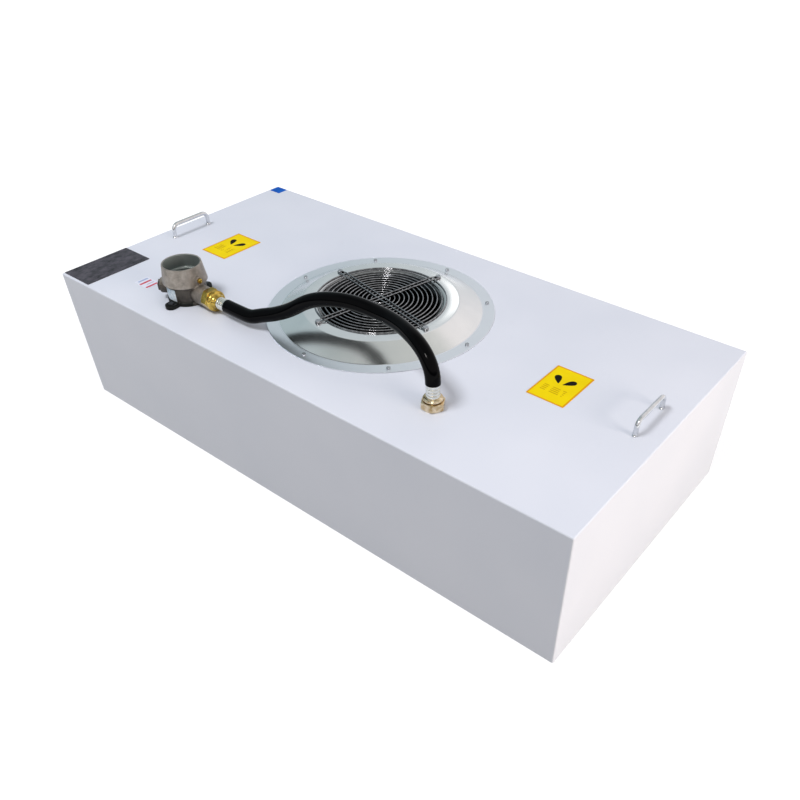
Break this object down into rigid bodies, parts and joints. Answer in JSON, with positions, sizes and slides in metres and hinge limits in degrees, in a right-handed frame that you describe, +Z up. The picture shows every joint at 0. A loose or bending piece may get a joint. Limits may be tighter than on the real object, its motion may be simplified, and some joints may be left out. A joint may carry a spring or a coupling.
{
  "type": "fan filter unit",
  "caption": "Cleanroom fan filter unit: white sheet casing with a round guarded air inlet, grip handles, a cast junction box and a black conduit that arches over to the panel.",
  "frame": {"origin": "centre of the casing's lower edge, level with its bottom face", "axes": "+X along the casing's length towards the conduit's panel gland, +Y across it away from the junction box, +Z up through the air inlet"},
  "size_m": [1.175, 0.575, 0.384],
  "materials": {
    "white_powder_coat": "satin powder coat",
    "spun_ring": "glossy spun sheet",
    "galvanised_sheet": "galvanised",
    "filter_channel": "anodised",
    "filter_paper": "glass-fibre paper",
    "foam_gasket": "closed-cell foam",
    "face_guard": "white expanded sheet",
    "zinc_steel": "bright zinc",
    "dark_screw": "blackened",
    "bright_wire": "bright wire",
    "chrome_bar": "polished",
    "cast_alloy": "as cast",
    "brass_fitting": "turned",
    "plated_ferrule": "plated",
    "black_conduit": "glossy sheath",
    "black_moulding": "moulded",
    "motor_black": "black paint",
    "cast_flange": "die cast",
    "bearing_steel": "ground",
    "core_steel": "laminated",
    "copper_winding": "enamelled wire",
    "impeller_sheet": "sheet",
    "yellow_film": "printed film",
    "dark_film": "dark plate",
    "white_film": "printed film",
    "foil_film": "foil",
    "blue_film": "film"
  },
  "bodies": {
    "housing": {"blanking_plug": "cast_alloy", "box_ferrule": "plated_ferrule", "box_sticker": "foil_film", "box_union_nut": "brass_fitting", "box_union_ring": "plated_ferrule", "bridge_bolts": "zinc_steel", "bridge_nuts": "zinc_steel", "casing": "white_powder_coat", "clamp_nuts": "zinc_steel", "clamp_studs": "zinc_steel", "conduit_hose": "black_conduit", "corner_tab": "blue_film", "dark_plate": "dark_film", "earth_screw": "zinc_steel", "filter_clamps": "galvanised_sheet", "filter_frame": "filter_channel", "filter_gasket": "foam_gasket", "filter_media": "filter_paper", "filter_seat_frame": "galvanised_sheet", "flange_screws": "dark_screw", "guard_screws": "zinc_steel", "handle_left": "chrome_bar", "handle_right": "chrome_bar", "handle_screws": "zinc_steel", "inlet_ring": "spun_ring", "junction_box_body": "cast_alloy", "junction_box_screws": "dark_screw", "lower_bearing": "bearing_steel", "motor_base": "cast_flange", "motor_bolts": "zinc_steel", "motor_bridge": "galvanised_sheet", "outlet_grille": "face_guard", "panel_collar": "brass_fitting", "panel_ferrule": "plated_ferrule", "panel_gland": "brass_fitting", "panel_locknut": "brass_fitting", "seal_sticker": "white_film", "stator_core": "core_steel", "stator_winding": "copper_winding", "terminal_block": "black_moulding", "terminal_screws": "zinc_steel", "upper_bearing": "bearing_steel", "wire_guard": "bright_wire", "yellow_label_left": "yellow_film", "yellow_label_right": "yellow_film"},
    "fan": {"motor_rotor": "motor_black", "motor_shaft": "bearing_steel", "impeller_back_plate": "impeller_sheet", "impeller_shroud": "impeller_sheet", "rotor_screws": "zinc_steel", "impeller_blade_1": "impeller_sheet", "impeller_blade_2": "impeller_sheet", "impeller_blade_3": "impeller_sheet", "impeller_blade_4": "impeller_sheet", "impeller_blade_5": "impeller_sheet", "impeller_blade_6": "impeller_sheet", "impeller_blade_7": "impeller_sheet"}
  },
  "joints": [
    {"name": "fan_spin", "type": "hinge", "parent": "housing", "child": "fan", "pos_m": [0, 0, 0.15], "axis": [0, 0, 1], "continuous": true}
  ]
}
